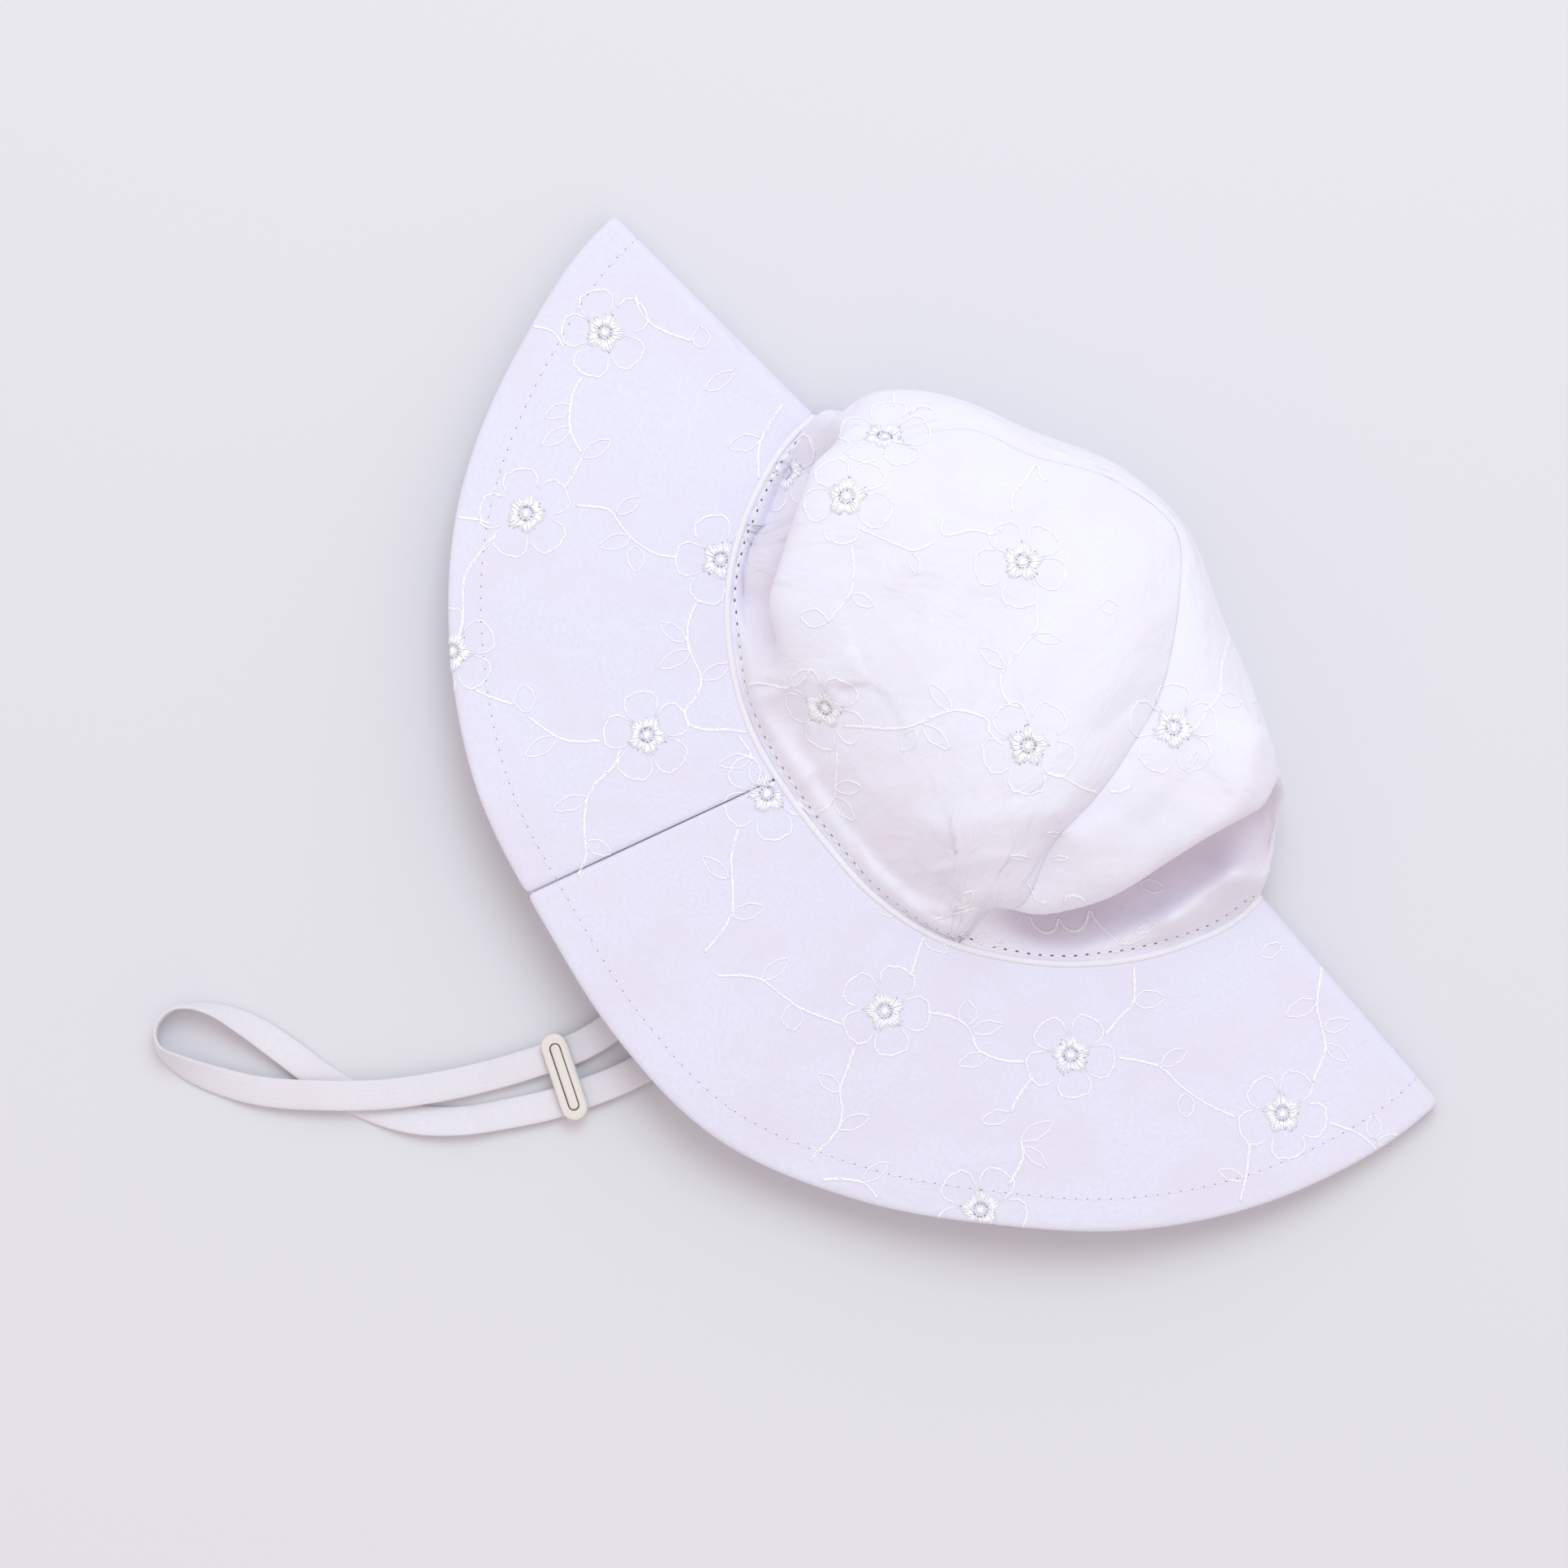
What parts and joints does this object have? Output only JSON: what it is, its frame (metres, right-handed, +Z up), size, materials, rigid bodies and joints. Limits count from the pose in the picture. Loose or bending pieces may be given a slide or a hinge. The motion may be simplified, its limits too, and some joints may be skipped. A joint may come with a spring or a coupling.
{
  "type": "sun hat",
  "caption": "Baby's embroidered cotton sun hat with a three-panel crown, wide brim and chin strap with slider, folded in half and lying on its side.",
  "frame": {"origin": "on the surface, under the middle of the folded hat's box, its strap and slider not counted", "axes": "+X from the front fold of the brim to the back fold, +Y from the brim towards the top of the crown, +Z up from the surface"},
  "size_m": [0.2992, 0.2799, 0.0622],
  "materials": {
    "brim_cloth": "matt white cotton, slightly lilac, with raised thread embroidery",
    "piping_cloth": "matt white cotton strip with topstitching",
    "crown_cloth": "matt white cotton, slightly lilac, with raised thread embroidery",
    "strap_tape": "flat white woven tape",
    "slider_plastic": "smooth cream plastic, softly glossy"
  },
  "bodies": {
    "root": {"brim_front": "brim_cloth", "brim_back": "brim_cloth", "seam_piping": "piping_cloth", "crown_centre_panel": "crown_cloth", "crown_side_panel_near": "crown_cloth", "crown_side_panel_far": "crown_cloth", "chin_strap": "strap_tape", "slider_body": "slider_plastic", "slider_bar": "slider_plastic"}
  },
  "joints": []
}
